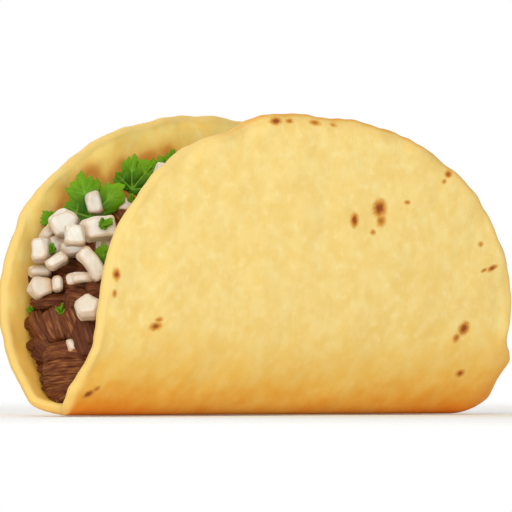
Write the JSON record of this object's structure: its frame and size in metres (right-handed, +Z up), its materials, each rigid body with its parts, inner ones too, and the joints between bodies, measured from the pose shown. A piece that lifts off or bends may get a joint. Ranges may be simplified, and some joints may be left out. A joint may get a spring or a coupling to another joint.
{
  "type": "taco",
  "caption": "Folded soft flour tortilla standing on its fold, filled with shredded meat and topped with onion dice and cilantro leaves.",
  "frame": {"origin": "on the ground under the middle of the fold", "axes": "+Z up, +X along the fold, +Y from the front flap to the back flap"},
  "size_m": [0.15, 0.0458, 0.0794],
  "materials": {
    "tortilla": "soft floury wheat bread, matte, browned toward the fold",
    "meat": "moist shredded braised beef, satin",
    "onion": "fresh raw onion, moist and slightly translucent",
    "leaf": "fresh cilantro leaf, satin"
  },
  "bodies": {
    "root": {"leaf_big": "leaf", "leaf_edge": "leaf", "leaf_left": "leaf", "leaf_r1": "leaf", "leaf_r2": "leaf", "leaf_second": "leaf", "leaf_t1": "leaf", "leaf_t2": "leaf", "leaf_t3": "leaf", "leaf_t4": "leaf", "leaf_third": "leaf", "meat": "meat", "onion_behind": "onion", "onion_big": "onion", "onion_chip": "onion", "onion_corner": "onion", "onion_curved": "onion", "onion_flat": "onion", "onion_low": "onion", "onion_on_leaf": "onion", "onion_peek": "onion", "onion_r1": "onion", "onion_r10": "onion", "onion_r11": "onion", "onion_r12": "onion", "onion_r2": "onion", "onion_r3": "onion", "onion_r4": "onion", "onion_r5": "onion", "onion_r6": "onion", "onion_r7": "onion", "onion_r8": "onion", "onion_r9": "onion", "onion_round": "onion", "onion_shaded_low": "onion", "onion_shaded_top": "onion", "onion_slab": "onion", "onion_sliver": "onion", "onion_small": "onion", "onion_square": "onion", "onion_strip": "onion", "onion_tall": "onion", "onion_top_01": "onion", "onion_top_02": "onion", "onion_top_03": "onion", "onion_top_04": "onion", "onion_top_05": "onion", "onion_top_06": "onion", "onion_top_07": "onion", "onion_top_08": "onion", "onion_top_09": "onion", "onion_top_10": "onion", "onion_top_11": "onion", "onion_top_12": "onion", "onion_top_13": "onion", "onion_top_14": "onion", "onion_top_15": "onion", "onion_tucked": "onion", "onion_wedge": "onion", "tortilla": "tortilla"}
  },
  "joints": []
}
